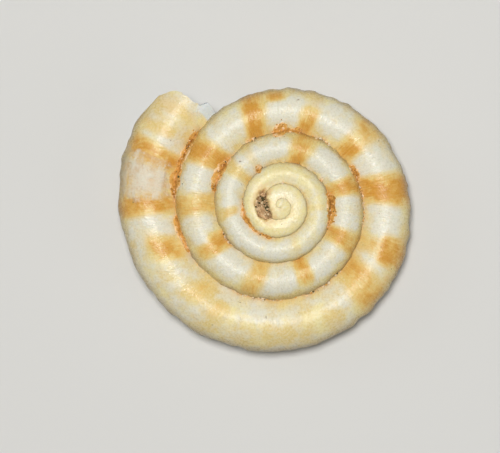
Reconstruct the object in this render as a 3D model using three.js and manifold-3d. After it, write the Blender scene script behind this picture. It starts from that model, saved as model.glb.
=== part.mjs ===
// A flat-spired land snail shell, coiled clockwise as seen from the apex, lying on its base with the spire up.
//
// The shell is one piece: a hollow tube whose section keeps its shape while it turns about the axis and grows.
// Every section lies in a plane through the axis. One more turn of growth scales the section by a constant ratio
// about a pivot on the far side of the axis, so all whorls are built from the mouth's section alone.
// Dried soil packs a hole beside the apex and lies in crusts along the suture, the groove between whorls.
//
// Millimetres, +Z up. The origin is under the middle of the shell's bounding box, on the surface it stands on.

import * as THREE from 'three';
import { LoftGeometry } from 'three/addons/geometries/LoftGeometry.js';
import { mergeVertices } from 'three/addons/utils/BufferGeometryUtils.js';
import Module from 'manifold-3d';

// Growth. A place along the coil is counted in turns, up to MOUTH_TURN at the mouth.
const FIRST_TURN = -0.45;
const MOUTH_TURN = 5;
const GROWTH_PER_TURN = 0.361; // natural logarithm of the ratio between one whorl and the one before
const MOUTH_REACH = 13.1; // from the pivot to the outside of the mouth's section
const PIVOT_OFFSET = 1.74; // how far the pivot lies beyond the axis
const AXIS_CLEARANCE = 0.03; // the first turns stop this far from the axis
const CORE = { radius: 0.1, top: 0.1, bottom: -1.1 }; // fills the space that the first turns leave at the axis
const SPIRE_DROP = 0.46; // how far the tube's middle sinks for each millimetre that it moves outwards
const MOUTH_AZIMUTH = 125; // degrees, where the suture meets the mouth

// The section: an ellipse whose lower inner quarter reaches in under the whorl before.
const WHORL_OVERLAP = 0.1; // share of a whorl's visible width by which the ellipse runs into the whorl before
const HEIGHT_RATIO = 1.15; // half height over half width
const BASE_REACH = 1.15; // how much further the lower inner quarter reaches, as a share of the half width
const BASE_REACH_ANGLE = 215; // degrees, where it reaches furthest
const WALL = 0.36; // wall thickness at the mouth
const CALLUS = 0.12; // thickness that the whorl after adds where it lies on the whorl before
const WALL_MERGE = 0.12; // how deep the whorl after runs into the wall of the whorl before

// The lip is broken: the turn where the wall ends, at each angle around the section.
const LIP = [
  [150, 5.012],
  [113, 4.993],
  [79, 4.985],
  [62, 4.98],
  [46, 4.966],
  [25, 4.945],
  [0, 4.925],
  [-60, 4.9],
  [-120, 4.905],
  [-180, 4.95],
];
const LIP_ZONE = 0.25; // turns before the mouth over which the growth lines swing round to the broken edge

// The lean that brings the base flat onto the surface, in degrees, and the azimuth that the apex leans to.
const REST_LEAN = 4.33;
const REST_LEAN_AZIMUTH = -5.1;

// Dried soil in the suture: name, first and last turn of the whorl that lies outside it, half width.
const SUTURE_SOIL = [
  ['outer_suture_soil_a', 4.08, 4.142, 0.34],
  ['outer_suture_soil_b', 4.264, 4.3, 0.22],
  ['outer_suture_soil_c', 4.77, 4.836, 0.24],
  ['outer_suture_soil_d', 4.852, 4.966, 0.34],
  ['middle_suture_soil_a', 3.0, 3.028, 0.2],
  ['middle_suture_soil_b', 3.3, 3.42, 0.22],
  ['middle_suture_soil_c', 3.878, 3.974, 0.24],
  ['inner_suture_soil', 2.63, 2.865, 0.15],
];
const SOIL_HEIGHT_RATIO = 0.7; // half height over half width
const SOIL_STEPS = 5;
const SOIL_SIDES = 6;
const SOIL_GAP = 0.02; // clear space between soil and shell

// The hole beside the apex, broken through along the suture, and the soil that packs it.
const HOLE = { from: 1.7, to: 1.96, halfWidth: 0.4, halfDepth: 0.5, sink: 0.1 };
const HOLE_SOIL = { from: 1.72, to: 1.94, halfWidth: 0.34, halfDepth: 0.25, sink: 0.3 };

// Facets
const STEPS_PER_TURN = 22;
const SEGMENTS = 8;
const TUCK = 0.12; // how far a segment's start lies inside the segment before it, at the mouth
const OUTSIDE_POINTS = 18;
const HOLLOW_POINTS = 14;
const FIRST_HOLLOW_TURN = 2; // the turns before this one are solid
const SHORTEST_EDGE = 0.005; // shorter edges, left by the cuts, are closed up
const MOUTH_OVERRUN = 1 / 12; // turns by which the hollow runs out through the broken lip

const wasm = await Module();
wasm.setup();

const degrees = THREE.MathUtils.degToRad;
const ratio = Math.exp(-GROWTH_PER_TURN); // size of the whorl before
const innerReach = ratio - WHORL_OVERLAP * (1 - ratio);
const halfWidth = (MOUTH_REACH * (1 - innerReach)) / 2;
const halfHeight = halfWidth * HEIGHT_RATIO;
const middle = new THREE.Vector2(1, -SPIRE_DROP).multiplyScalar((MOUTH_REACH * (1 + innerReach)) / 2);

// A point of the mouth's whole section, before the whorl before cuts into it. x is outwards from the pivot, y up.
function outlinePoint(angle, inset = 0) {
  const lean = Math.max(0, Math.cos(degrees(angle - BASE_REACH_ANGLE))) ** 2;
  const across = (halfWidth - inset) * Math.cos(degrees(angle)) * (1 + BASE_REACH * lean);
  const upward = (halfHeight - inset) * Math.sin(degrees(angle));
  return new THREE.Vector2(middle.x + across, middle.y + upward);
}

// Whether a point lies inside the whorl before, whose outline is grown by spread.
function insideWhorlBefore(point, spread) {
  const seen = point.clone().divideScalar(ratio);
  const sine = (seen.y - middle.y) / (halfHeight + spread / ratio);
  if (Math.abs(sine) >= 1) return false;
  const angle = THREE.MathUtils.radToDeg(Math.asin(sine));
  const outer = outlinePoint(angle, -spread / ratio).x;
  const inner = outlinePoint(180 - angle, -spread / ratio).x;
  return seen.x > inner && seen.x < outer;
}

// A point of the mouth's section, stopped where its ray from the middle enters the whorl before.
function sectionPoint(angle, inset, spread) {
  const full = outlinePoint(angle, inset);
  let clear = 0;
  for (let share = 0; share <= 1; share += 0.005) {
    if (insideWhorlBefore(middle.clone().lerp(full, share), spread)) break;
    clear = share;
  }
  return middle.clone().lerp(full, clear);
}

// Carries a point of the mouth's section to a turn of the coil, in the shell's own frame: apex up, axis along Z.
function carry(point, turn) {
  const size = Math.exp(GROWTH_PER_TURN * (turn - MOUTH_TURN));
  const azimuth = degrees(MOUTH_AZIMUTH - 360 * turn);
  const radius = Math.max(AXIS_CLEARANCE, point.x * size - PIVOT_OFFSET);
  const height = point.y * size + SPIRE_DROP * PIVOT_OFFSET;
  return new THREE.Vector3(radius * Math.cos(azimuth), radius * Math.sin(azimuth), height);
}

// The turn at which the wall ends, at an angle around the section.
function lipTurn(angle) {
  const [firstAngle, firstTurn] = LIP[0];
  const wrapped = angle > firstAngle ? angle - 360 : angle;
  const stops = [...LIP, [firstAngle - 360, firstTurn]];
  const next = Math.max(1, stops.findIndex(([stopAngle]) => stopAngle <= wrapped));
  const [fromAngle, fromTurn] = stops[next - 1];
  const [toAngle, toTurn] = stops[next];
  return THREE.MathUtils.lerp(fromTurn, toTurn, (fromAngle - wrapped) / (fromAngle - toAngle));
}

// Swings the growth lines near the mouth round to the broken lip.
function towardsLip(turn, angle) {
  const along = (turn - (MOUTH_TURN - LIP_ZONE)) / LIP_ZONE;
  if (along <= 0) return turn;
  return turn + along * along * (lipTurn(angle) - MOUTH_TURN);
}

// The closed surface of a three.js geometry as a solid. Triangles that have no area are left out.
function solidOf(geometry) {
  const skin = new THREE.BufferGeometry().copy(geometry);
  skin.deleteAttribute('normal');
  skin.deleteAttribute('uv');
  const merged = mergeVertices(skin, 1e-6);
  const corners = [];
  for (let i = 0; i < merged.index.count; i += 3) {
    const triangle = [0, 1, 2].map((corner) => merged.index.getX(i + corner));
    if (new Set(triangle).size === 3) corners.push(...triangle);
  }
  const vertProperties = merged.attributes.position.array;
  return new wasm.Manifold(new wasm.Mesh({ numProp: 3, vertProperties, triVerts: Uint32Array.from(corners) }));
}

// A solid through rings of points. Both ends are closed by a fan around the ring's own middle.
function loft(rings, middles) {
  const [start, end] = middles.map((point) => rings[0].map(() => point));
  return solidOf(new LoftGeometry([start, ...rings, end]));
}

function geometryOf(solid) {
  const { vertProperties, triVerts } = solid.getMesh();
  const geometry = new THREE.BufferGeometry();
  geometry.setAttribute('position', new THREE.BufferAttribute(vertProperties, 3));
  geometry.setIndex(new THREE.BufferAttribute(triVerts, 1));
  geometry.computeVertexNormals();
  return geometry;
}

function largestPiece(solid) {
  return solid.decompose().reduce((best, piece) => (piece.volume() > best.volume() ? piece : best));
}

// A tube through one section repeated from one turn to another. tucked is a smaller section a little before those.
function tube(section, fromTurn, toTurn, tucked = null) {
  const steps = Math.round((toTurn - fromTurn) * STEPS_PER_TURN);
  const step = (toTurn - fromTurn) / steps;
  const stations = Array.from({ length: steps + 1 }, (_, i) => ({ ring: section, turn: fromTurn + i * step }));
  if (tucked) {
    stations[0].turn += step / 4;
    stations.unshift({ ring: tucked, turn: fromTurn - step / 2 });
  }
  const bend = tucked ? towardsLip : (turn) => turn;
  const rings = stations.map(({ ring, turn }) => ring.map(({ point, angle }) => carry(point, bend(turn, angle))));
  return loft(rings, [stations[0].turn, toTurn].map((turn) => carry(middle, bend(turn, 0))));
}

// The mouth's section as a ring of points, counterclockwise as seen from the mouth.
function ringSection(points, inset, spread) {
  return Array.from({ length: points }, (_, i) => {
    const angle = (360 * i) / points - 180;
    return { angle, point: sectionPoint(angle, inset, spread) };
  });
}

// Part of a turn at a time, so that no piece of the tube meets itself. Each piece starts inside the one before it.
function coiledShell() {
  const fullSection = ringSection(OUTSIDE_POINTS, 0, -WALL_MERGE);
  const tuckedSection = ringSection(OUTSIDE_POINTS, TUCK, -WALL_MERGE - TUCK);
  const hollowSection = ringSection(HOLLOW_POINTS, WALL, CALLUS);
  const length = (MOUTH_TURN - FIRST_TURN) / SEGMENTS;
  const core = new THREE.CylinderGeometry(CORE.radius, CORE.radius, CORE.top - CORE.bottom, 12);
  core.rotateX(Math.PI / 2).translate(0, 0, (CORE.top + CORE.bottom) / 2);
  let outside = solidOf(core);
  for (let segment = 0; segment < SEGMENTS; segment++) {
    const start = FIRST_TURN + segment * length;
    outside = outside.add(tube(fullSection, start, start + length, tuckedSection));
  }
  return outside.subtract(tube(hollowSection, FIRST_HOLLOW_TURN, MOUTH_TURN + MOUTH_OVERRUN));
}

// Where the top of a whorl meets the whorl before.
function findSuture() {
  let angle = 90;
  while (sectionPoint(angle, 0, 0).distanceTo(outlinePoint(angle)) < 0.05) angle += 0.5;
  return sectionPoint(angle, 0, 0);
}

const suture = findSuture();

// A strip along the suture, pointed at both ends.
function sutureStrip({ from, to, halfWidth: half, halfDepth, sink }) {
  const rings = [];
  for (let step = 0; step <= SOIL_STEPS; step++) {
    const share = step / SOIL_STEPS;
    const turn = THREE.MathUtils.lerp(from, to, share);
    const size = Math.exp(GROWTH_PER_TURN * (turn - MOUTH_TURN));
    const swell = 0.2 + 0.8 * Math.sin(Math.PI * share) ** 0.6;
    const ring = [];
    for (let side = 0; side < SOIL_SIDES; side++) {
      const angle = (2 * Math.PI * side) / SOIL_SIDES;
      const point = suture.clone();
      point.x += (swell * half * Math.cos(angle)) / size;
      point.y += (swell * halfDepth * Math.sin(angle) - sink) / size;
      ring.push(carry(point, turn));
    }
    rings.push(ring);
  }
  const middles = [from, to].map((turn) => {
    const size = Math.exp(GROWTH_PER_TURN * (turn - MOUTH_TURN));
    return carry(new THREE.Vector2(suture.x, suture.y - sink / size), turn);
  });
  return loft(rings, middles);
}

const shell = largestPiece(coiledShell().subtract(sutureStrip(HOLE)).setTolerance(SHORTEST_EDGE));

const shellMaterial = new THREE.MeshStandardMaterial({ color: 0xe6dcc0, roughness: 0.38, metalness: 0 });
const soilMaterial = new THREE.MeshStandardMaterial({ color: 0xc98b45, roughness: 0.95, metalness: 0 });
const leaningShell = new THREE.Group();

function addNode(name, solid, material) {
  const mesh = new THREE.Mesh(geometryOf(solid), material);
  mesh.name = name;
  leaningShell.add(mesh);
}

addNode('shell', shell, shellMaterial);

for (const [name, from, to, half] of SUTURE_SOIL) {
  const strip = sutureStrip({ from, to, halfWidth: half, halfDepth: half * SOIL_HEIGHT_RATIO, sink: 0 });
  const crust = largestPiece(strip.subtract(shell).setTolerance(SHORTEST_EDGE));
  addNode(name, crust.translate([0, 0, SOIL_GAP]), soilMaterial);
}
addNode('apex_soil', sutureStrip(HOLE_SOIL), soilMaterial);

// Leans the shell onto its base, then sets the middle of its box over the origin.
const side = new THREE.Vector3(Math.cos(degrees(REST_LEAN_AZIMUTH)), Math.sin(degrees(REST_LEAN_AZIMUTH)), 0);
const leanAxis = new THREE.Vector3(0, 0, 1).cross(side);
leaningShell.quaternion.setFromAxisAngle(leanAxis, degrees(REST_LEAN));
leaningShell.updateMatrixWorld(true);
const box = new THREE.Box3().setFromObject(leaningShell, true);
const boxCentre = box.getCenter(new THREE.Vector3());
leaningShell.position.set(-boxCentre.x, -boxCentre.y, -box.min.z);

const part = new THREE.Group();
part.add(leaningShell);

export default part;
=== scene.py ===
"""A flat-spired land snail shell, worn and dusty, lying on its base on a pale studio floor.

The shell is a hollow coil. Its skin is rolled up from flat sheets: one for the top of the spire, one
for the whole last whorl, one for the base round the navel and one for the hollow inside. Along a sheet
runs the growth of the shell, counted in turns up to MOUTH_TURN at the mouth, and across it an angle
round the tube's section: 90 degrees is the crest of a whorl, 0 its outer edge and 270 its base. Dried
soil is caked, as a lumpy film with grains on it, in the groove between whorls (the suture) and in a
hole beside the apex.

Lengths in the classes below are millimetres in the shell's own frame (axis upright, apex up). Meshes
are made in millimetres too, leaned as the shell lies, and the last step of each piece turns them into
metres.
"""

import logging
import math
from dataclasses import dataclass, field
from enum import Enum
from functools import partial
from typing import Callable, Sequence

import bpy
import numpy as np
from mathutils import Matrix, Vector
from mathutils.bvhtree import BVHTree


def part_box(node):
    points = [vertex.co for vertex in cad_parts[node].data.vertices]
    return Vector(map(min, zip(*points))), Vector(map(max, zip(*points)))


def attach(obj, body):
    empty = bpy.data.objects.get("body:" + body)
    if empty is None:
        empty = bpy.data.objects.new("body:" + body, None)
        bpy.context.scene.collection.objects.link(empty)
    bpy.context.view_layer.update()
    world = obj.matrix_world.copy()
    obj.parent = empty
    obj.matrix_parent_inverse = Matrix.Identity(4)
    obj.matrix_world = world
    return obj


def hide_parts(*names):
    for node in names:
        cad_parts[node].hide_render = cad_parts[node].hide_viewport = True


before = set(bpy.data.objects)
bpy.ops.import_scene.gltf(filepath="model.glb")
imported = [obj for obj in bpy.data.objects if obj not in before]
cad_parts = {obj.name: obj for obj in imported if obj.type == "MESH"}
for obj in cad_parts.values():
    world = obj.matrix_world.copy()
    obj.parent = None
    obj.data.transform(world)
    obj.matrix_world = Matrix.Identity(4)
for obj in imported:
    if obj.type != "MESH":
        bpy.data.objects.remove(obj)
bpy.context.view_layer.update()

logger = logging.getLogger("snail_shell")

MM = 0.001
MOUTH_TURN = 5.0
WELD_DISTANCE = 2e-5
GROWTH_MAP = "Growth"

Array = np.ndarray


class Noise:
    """Smooth, repeatable noise on a plane."""

    CELLS = 512

    def __init__(self, seed: int) -> None:
        """Draws the noise's lattice.

        Args:
            seed: chooses one fixed lattice of values.
        """
        self._lattice = np.random.RandomState(seed).uniform(-1.0, 1.0, (self.CELLS, self.CELLS))

    def at(self, x: Array, y: Array) -> Array:
        """Reads the noise.

        Args:
            x: places along the first axis; the noise changes about once a unit.
            y: places along the second axis.

        Returns:
            Values from -1 to 1, one for each place.
        """
        column, row = np.floor(x).astype(int), np.floor(y).astype(int)
        across, up = x - column, y - row
        across = across * across * (3.0 - 2.0 * across)
        up = up * up * (3.0 - 2.0 * up)
        column, row = column % self.CELLS, row % self.CELLS
        next_column, next_row = (column + 1) % self.CELLS, (row + 1) % self.CELLS
        low = self._lattice[column, row] * (1 - across) + self._lattice[next_column, row] * across
        high = self._lattice[column, next_row] * (1 - across) + self._lattice[next_column, next_row] * across
        return low * (1 - up) + high * up

    def layered(self, x: Array, y: Array, layers: int = 3) -> Array:
        """Adds finer and fainter copies of the noise.

        Args:
            x: places along the first axis.
            y: places along the second axis.
            layers: how many copies, each twice as fine and half as strong.

        Returns:
            Values from about -1 to 1.
        """
        total = sum(self.at(x * 2**i + 17.0 * i, y * 2**i + 31.0 * i) / 2**i for i in range(layers))
        return total / (2.0 - 2.0 ** (1 - layers))


def smooth_step(low: float | Array, high: float | Array, value: Array) -> Array:
    """Rises smoothly from 0 at low to 1 at high."""
    share = np.clip((value - low) / (high - low), 0.0, 1.0)
    return share * share * (3.0 - 2.0 * share)


def bump(value: Array, centre: float, width: float) -> Array:
    """A bell of height 1 at centre that has fallen to a third at width from it."""
    return np.exp(-(((value - centre) / width) ** 2))


@dataclass(frozen=True)
class Coil:
    """How the tube turns about the axis and grows."""

    growth: float = 0.361
    reach: float = 13.1
    pivot: float = 1.74
    drop: float = 0.46
    mouth_azimuth: float = 125.0

    @property
    def ratio(self) -> float:
        """Size of one whorl over the next."""
        return math.exp(-self.growth)

    def size(self, turn: Array) -> Array:
        """Size of the tube at a turn, as a share of its size at the mouth."""
        return np.exp(self.growth * (turn - MOUTH_TURN))

    def azimuth(self, turn: Array) -> Array:
        """Direction of a turn from the axis, in radians, anticlockwise from +X as seen from the apex."""
        return np.radians(self.mouth_azimuth - 360.0 * turn)

    def edge(self, turn: Array) -> Array:
        """Distance from the axis to the whorl's outer edge."""
        return self.reach * self.size(turn) - self.pivot


@dataclass
class Section:
    """The tube's section at the mouth, measured from the pivot: x outwards, y up.

    It is an ellipse whose lower inner quarter reaches in under the whorl before. That whorl's section is
    the same one, scaled about the pivot, so where the two meet also follows from this outline alone.
    """

    coil: Coil
    overlap: float = 0.1
    height_ratio: float = 1.15
    base_reach: float = 1.15
    base_reach_angle: float = 215.0
    middle: Array = field(init=False)
    half_width: float = field(init=False)
    half_height: float = field(init=False)
    suture_angle: float = field(init=False)
    covered_top_angle: float = field(init=False)
    navel_angle: float = field(init=False)
    covered_base_angle: float = field(init=False)

    def __post_init__(self) -> None:
        """Works out the ellipse, and the angles at which neighbouring whorls meet."""
        ratio = self.coil.ratio
        inner = ratio - self.overlap * (1.0 - ratio)
        self.half_width = self.coil.reach * (1.0 - inner) / 2.0
        self.half_height = self.half_width * self.height_ratio
        self.middle = np.array([1.0, -self.coil.drop]) * self.coil.reach * (1.0 + inner) / 2.0
        self.suture_angle, self.covered_top_angle = self._meeting(90.0, 180.0)
        navel, covered_base = self._meeting(230.0, 180.0)
        self.navel_angle, self.covered_base_angle = navel - 360.0, covered_base - 360.0

    def outline(self, angle: Array) -> tuple[Array, Array]:
        """Points of the outline.

        Args:
            angle: degrees round the section.

        Returns:
            The points' x and y.
        """
        turned = np.radians(angle)
        lean = np.maximum(0.0, np.cos(np.radians(angle - self.base_reach_angle))) ** 2
        x = self.middle[0] + self.half_width * np.cos(turned) * (1.0 + self.base_reach * lean)
        return x, self.middle[1] + self.half_height * np.sin(turned)

    def across(self, angle: Array) -> Array:
        """Share of the visible width: 0 at the suture, 1 at the outer edge, up to 1.9 under the whorl."""
        suture_x = self.outline(np.array(self.suture_angle))[0]
        seen = (self.outline(np.maximum(angle, 0.0))[0] - suture_x) / (self.coil.reach - suture_x)
        return seen + np.maximum(-angle, 0.0) / 100.0

    def normal(self, angle: Array) -> tuple[Array, Array]:
        """Outward directions of the outline, of length 1, at degrees round the section."""
        ahead, behind = self.outline(angle + 0.5), self.outline(angle - 0.5)
        along_x, along_y = ahead[0] - behind[0], ahead[1] - behind[1]
        length = np.hypot(along_x, along_y)
        return along_y / length, -along_x / length

    def _meeting(self, start: float, end: float) -> tuple[float, float]:
        """Finds where the outline enters the whorl before.

        Args:
            start: an angle outside the whorl before.
            end: an angle inside it.

        Returns:
            The angle on this whorl's outline, and the angle of the same point on the outline of the
            whorl before.
        """
        rim_angles = np.linspace(-90.0, 270.0, 14401)
        rim_x, rim_y = self.outline(rim_angles)
        for _ in range(50):
            tried = (start + end) / 2.0
            x, y = (part / self.coil.ratio for part in self.outline(np.array(tried)))
            level = np.abs(rim_y - y) < self.half_height / 1500.0
            inside = level.any() and rim_x[level].min() < x < rim_x[level].max()
            start, end = (start, tried) if inside else (tried, end)
        nearest = np.argmin(np.hypot(rim_x - x, rim_y - y))
        return start, float(rim_angles[nearest])


@dataclass
class Lip:
    """The broken edge of the mouth."""

    section: Section
    zone: float = 0.25
    roughness: float = 0.0032
    stops: tuple[tuple[float, float], ...] = (
        (-150.0, 4.95),
        (-120.0, 4.905),
        (-60.0, 4.9),
        (0.0, 4.927),
        (30.0, 4.945),
        (37.0, 4.964),
        (57.0, 4.978),
        (79.0, 4.985),
        (112.0, 4.989),
        (118.0, 5.001),
    )
    noise: Noise = field(default_factory=lambda: Noise(5))

    def turn_at(self, angle: Array) -> Array:
        """The turn at which the wall ends, at degrees round the section. Its two ends are whole."""
        angles, turns = zip(*self.stops)
        navel, suture = self.section.navel_angle, self.section.suture_angle
        free = smooth_step(navel, navel + 25.0, angle) * (1.0 - smooth_step(suture - 12.0, suture, angle))
        broken = np.interp(angle, angles, turns) - MOUTH_TURN
        ragged = self.roughness * self.noise.layered(angle / 9.0, angle * 0.0, 3)
        return MOUTH_TURN + free * (broken + ragged)

    def bend(self, turn: Array, angle: Array) -> Array:
        """Swings growth lines near the mouth round to the broken edge.

        Args:
            turn: places along the coil, up to MOUTH_TURN.
            angle: degrees round the section.

        Returns:
            The turns that those places move to.
        """
        along = np.clip((turn - MOUTH_TURN + self.zone) / self.zone, 0.0, 1.0)
        return turn + along**2 * (self.turn_at(angle) - MOUTH_TURN)


@dataclass
class Relief:
    """Unevenness of the outer skin, as lift along its outward normal."""

    ripples_per_turn: float = 84.0
    ripple: float = 0.022
    edge_ripple: float = 0.11
    swell: float = 0.03
    flake_depth: float = 0.04
    flake_turns: tuple[float, float] = (4.852, 4.908)
    flake_across: tuple[float, float] = (0.1, 0.97)
    noise: Noise = field(default_factory=lambda: Noise(11))

    def flake(self, turn: Array, across: Array) -> Array:
        """How far the outer layer has flaked off, from 0 to 1, at turns and shares of the whorl's width."""
        start = self.flake_turns[0] + 0.006 * self.noise.layered(across * 9.0, across * 0.0 + 3.0)
        end = self.flake_turns[1] + 0.004 * self.noise.layered(across * 7.0, across * 0.0 + 9.0)
        inner = self.flake_across[0] + 0.1 * self.noise.layered(turn * 160.0, turn * 0.0 + 5.0)
        outer = self.flake_across[1] + 0.06 * self.noise.layered(turn * 140.0, turn * 0.0 + 7.0)
        along = smooth_step(start, start + 0.006, turn) * (1.0 - smooth_step(end - 0.002, end, turn))
        beyond_outer = smooth_step(outer - 0.06, outer, across)
        return along * smooth_step(inner, inner + 0.06, across) * (1.0 - beyond_outer)

    def lift(self, turn: Array, angle: Array, across: Array, size: Array) -> Array:
        """Adds up the unevenness.

        Args:
            turn: places along the coil.
            angle: degrees round the section.
            across: share of the whorl's visible width.
            size: size of the tube there.

        Returns:
            Millimetres outwards.
        """
        around = angle / 50.0
        warped = turn + 0.004 * self.noise.at(turn * 30.0, around)
        phase = self.noise.layered(warped * self.ripples_per_turn, around * 0.4, 2) - 0.6
        ripples = phase * (self.ripple + self.edge_ripple * bump(angle, -4.0, 34.0))
        swell = self.swell * self.noise.layered(turn * 11.0, around + 40.0, 3)
        rough = 0.012 * self.noise.layered(turn * 420.0, around * 12.0, 2)
        return (ripples + swell) * size**0.7 - self.flake(turn, across) * (self.flake_depth + rough)


@dataclass
class Pit:
    """The hole beside the apex, where the skin has gone."""

    coil: Coil
    turn: float = 0.83
    half_length: float = 0.145
    half_width: float = 0.5
    depth: float = 0.45
    lowest: float = -0.65
    noise: Noise = field(default_factory=lambda: Noise(23))

    def share(self, azimuth: Array, radius: Array, spread: float = 1.0) -> Array:
        """How deep in the pit a place is.

        Args:
            azimuth: directions from the axis, in radians.
            radius: distances from the axis.
            spread: how many times its own size it is taken to be.

        Returns:
            0 outside it, and 1 over its floor.
        """
        centre = self.coil.azimuth(np.array(self.turn))
        beyond = (centre - azimuth + np.pi) % (2.0 * np.pi) - np.pi
        along = beyond / (2.0 * np.pi)
        groove = self.coil.edge(self.turn + along)
        ragged = 0.3 * self.noise.layered(azimuth * 4.0, radius * 6.0, 3)
        reach = np.hypot(along / self.half_length, (radius - groove) / self.half_width) / spread + ragged
        return 1.0 - smooth_step(0.55, 1.05, reach)


@dataclass(frozen=True)
class Flame:
    """A brown mark across a whorl.

    Args:
        turn: its middle along the coil.
        width: its width in degrees of a turn.
        start: where it begins across the whorl; 0 is the suture, 1 the outer edge.
        end: where it ends.
        strength: how dark it is, from 0 to 1.
        slant: how far, in degrees, its outer end is ahead of its inner end.
    """

    turn: float
    width: float
    start: float = -0.2
    end: float = 1.9
    strength: float = 1.0
    slant: float = 0.0

    def shade(self, turn: Array, across: Array) -> Array:
        """How strongly the flame marks each place, from 0 to 1."""
        middle = self.turn + self.slant * (across - 0.5) / 360.0
        beside = np.abs(turn - middle) * 720.0 / self.width
        soft = 0.18
        inward = smooth_step(self.start - soft / 2.0, self.start + soft, across)
        outward = 1.0 - smooth_step(self.end - soft, self.end + soft, across)
        return self.strength * (1.0 - smooth_step(0.2, 1.85, beside)) * inward * outward


FLAMES_AND_LIP_SHADE = (
    Flame(4.052, 13.0, strength=0.9, slant=4.0),
    Flame(4.086, 11.0, start=0.66, end=0.96, strength=0.9, slant=4.0),
    Flame(4.147, 11.0, end=0.62, strength=0.72),
    Flame(4.147, 10.0, end=1.2, strength=0.3),
    Flame(4.236, 13.0, end=0.5, strength=0.84),
    Flame(4.232, 15.0, start=0.6, strength=0.62),
    Flame(4.236, 14.0, strength=0.5),
    Flame(4.322, 15.0, strength=0.95, slant=4.0),
    Flame(4.411, 14.0, start=0.36, end=1.5, strength=0.88),
    Flame(4.411, 12.0, end=0.45, strength=0.5),
    Flame(4.468, 17.0, end=1.3, strength=0.66, slant=4.0),
    Flame(4.435, 46.0, start=0.62, end=1.7, strength=0.42),
    Flame(4.528, 14.0, start=0.37, end=0.96, strength=0.24),
    Flame(4.591, 7.0, start=-0.2, end=0.12, strength=0.5),
    Flame(4.684, 8.0, start=0.2, end=0.6, strength=0.5, slant=8.0),
    Flame(4.722, 11.0, start=0.02, end=0.59, strength=0.45, slant=10.0),
    Flame(4.795, 12.0, start=0.02, end=0.62, strength=0.78, slant=8.0),
    Flame(4.849, 9.0, strength=0.8, slant=-2.0),
    Flame(4.862, 9.0, start=0.86, end=1.9, strength=0.7),
    Flame(4.872, 6.0, start=0.68, end=0.86, strength=0.7),
    Flame(4.909, 9.0, end=0.98, strength=0.8, slant=2.0),
    Flame(4.939, 6.0, start=0.2, strength=0.42, slant=-4.0),
    Flame(4.966, 7.0, start=0.05, end=0.9, strength=0.36, slant=-5.0),
    # This wide faint flame is partly painted shade, darkening the lip where the wall curves down away from
    # the light, and partly the lip's yellowish tint.
    Flame(4.958, 24.0, strength=0.24),
    Flame(3.011, 12.0, strength=0.3),
    Flame(3.153, 21.0, strength=0.72, slant=2.0),
    Flame(3.302, 14.0, strength=0.82),
    Flame(3.424, 15.0, strength=0.72),
    Flame(3.545, 13.0, end=0.3, strength=0.8),
    Flame(3.543, 12.0, end=0.74, strength=0.85),
    Flame(3.65, 16.0, strength=0.58, slant=5.0),
    Flame(3.766, 14.0, end=0.4, strength=1.0),
    Flame(3.758, 11.0, end=0.85, strength=0.68, slant=4.0),
    Flame(3.85, 15.0, strength=0.62, slant=-4.0),
    Flame(3.945, 15.0, strength=0.86, slant=-4.0),
    Flame(2.353, 13.0, end=0.75, strength=0.3),
    Flame(2.536, 16.0, start=0.05, end=0.75, strength=0.3),
    Flame(2.828, 12.0, start=0.1, end=1.2, strength=0.5, slant=-8.0),
    Flame(2.953, 14.0, end=1.2, strength=0.5),
)
YELLOWED_TURNS = (4.5, 4.8)


@dataclass(frozen=True)
class Crust:
    """A patch of dried soil in the suture.

    Args:
        node: the solid that it stands for.
        first: turn where it begins, of the whorl outside it.
        last: turn where it ends.
        half_width: half its width at its middle.
        grains: how many grains it has.
    """

    node: str
    first: float
    last: float
    half_width: float
    grains: int


CRUSTS = (
    Crust("outer_suture_soil_a", 4.08, 4.142, 0.48, 95),
    Crust("outer_suture_soil_b", 4.264, 4.3, 0.3, 35),
    Crust("outer_suture_soil_c", 4.77, 4.836, 0.24, 45),
    Crust("outer_suture_soil_d", 4.852, 4.966, 0.5, 165),
    Crust("middle_suture_soil_a", 3.0, 3.028, 0.28, 22),
    Crust("middle_suture_soil_b", 3.3, 3.42, 0.28, 85),
    Crust("middle_suture_soil_c", 3.878, 3.974, 0.32, 85),
    Crust("inner_suture_soil", 2.63, 2.865, 0.18, 60),
)
THIN_SOIL = (
    Crust("", 4.019, 4.042, 0.16, 40),
    Crust("", 4.167, 4.208, 0.1, 30),
    Crust("", 4.306, 4.389, 0.1, 60),
    Crust("", 4.478, 4.575, 0.1, 40),
    Crust("", 4.592, 4.678, 0.12, 60),
    Crust("", 3.25, 3.264, 0.1, 12),
    Crust("", 3.736, 3.778, 0.1, 30),
    Crust("", 2.108, 2.12, 0.1, 10),
)


@dataclass(frozen=True)
class ApexWear:
    """How the first whorls are worn down towards a smooth cone."""

    wear: float = 0.84
    radii: tuple[float, float] = (0.35, 2.9)
    tip: float = 0.34
    slope: float = -0.262
    lowest: tuple[float, float] = (-0.56, -0.34)

    def wear_down(self, radius: Array, height: Array) -> Array:
        """Moves heights towards the cone, most of all at the axis.

        Args:
            radius: distances from the axis.
            height: heights; the navel's, below the lowest, stay.

        Returns:
            The worn heights.
        """
        share = self.wear * (1.0 - smooth_step(*self.radii, radius)) * smooth_step(*self.lowest, height)
        return height + share * (self.tip + self.slope * radius - height)


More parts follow.
